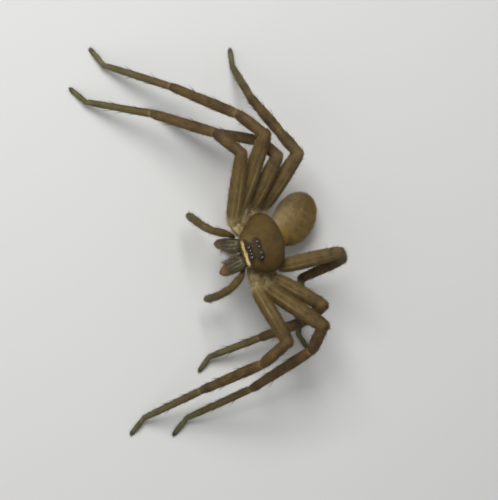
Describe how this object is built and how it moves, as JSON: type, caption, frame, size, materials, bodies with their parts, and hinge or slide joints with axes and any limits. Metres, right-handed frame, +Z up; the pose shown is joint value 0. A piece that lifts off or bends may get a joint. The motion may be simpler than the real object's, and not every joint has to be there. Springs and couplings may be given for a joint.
{
  "type": "huntsman spider",
  "caption": "Grown female huntsman spider standing on its spread legs, head raised and hind body swung aside, as a still life-size model.",
  "frame": {"origin": "centre of the bounding box at the floor that the feet rest on", "axes": "+Z up, away from the floor; -Y ahead of the spider; +X to the spider's left, along the spread of the legs"},
  "size_m": [0.063, 0.0392, 0.0191],
  "materials": {
    "carapace": "fine-haired hard cuticle",
    "legs": "short-haired cuticle",
    "abdomen": "soft velvety skin",
    "fangs": "hard dark cuticle with sparse hair",
    "eyes": "glassy lens"
  },
  "bodies": {
    "root": {"abdomen": "abdomen", "carapace": "carapace", "chelicera_left": "fangs", "chelicera_right": "fangs", "eye_back_middle_left": "eyes", "eye_back_middle_right": "eyes", "eye_back_side_left": "eyes", "eye_back_side_right": "eyes", "eye_front_middle_left": "eyes", "eye_front_middle_right": "eyes", "eye_front_side_left": "eyes", "eye_front_side_right": "eyes", "fang_left": "fangs", "fang_right": "fangs", "leg_left_1_coxa": "legs", "leg_left_1_femur": "legs", "leg_left_1_foot": "legs", "leg_left_1_tibia": "legs", "leg_left_2_coxa": "legs", "leg_left_2_femur": "legs", "leg_left_2_foot": "legs", "leg_left_2_tibia": "legs", "leg_left_3_coxa": "legs", "leg_left_3_femur": "legs", "leg_left_3_foot": "legs", "leg_left_3_tibia": "legs", "leg_left_4_coxa": "legs", "leg_left_4_femur": "legs", "leg_left_4_foot": "legs", "leg_left_4_tibia": "legs", "leg_right_1_coxa": "legs", "leg_right_1_femur": "legs", "leg_right_1_foot": "legs", "leg_right_1_tibia": "legs", "leg_right_2_coxa": "legs", "leg_right_2_femur": "legs", "leg_right_2_foot": "legs", "leg_right_2_tibia": "legs", "leg_right_3_coxa": "legs", "leg_right_3_femur": "legs", "leg_right_3_foot": "legs", "leg_right_3_tibia": "legs", "leg_right_4_coxa": "legs", "leg_right_4_femur": "legs", "leg_right_4_foot": "legs", "leg_right_4_tibia": "legs", "mouthparts": "carapace", "palp_left_base": "legs", "palp_left_tip": "legs", "palp_right_base": "legs", "palp_right_tip": "legs", "pedicel": "abdomen", "spinnerets": "abdomen", "sternum": "carapace"}
  },
  "joints": []
}
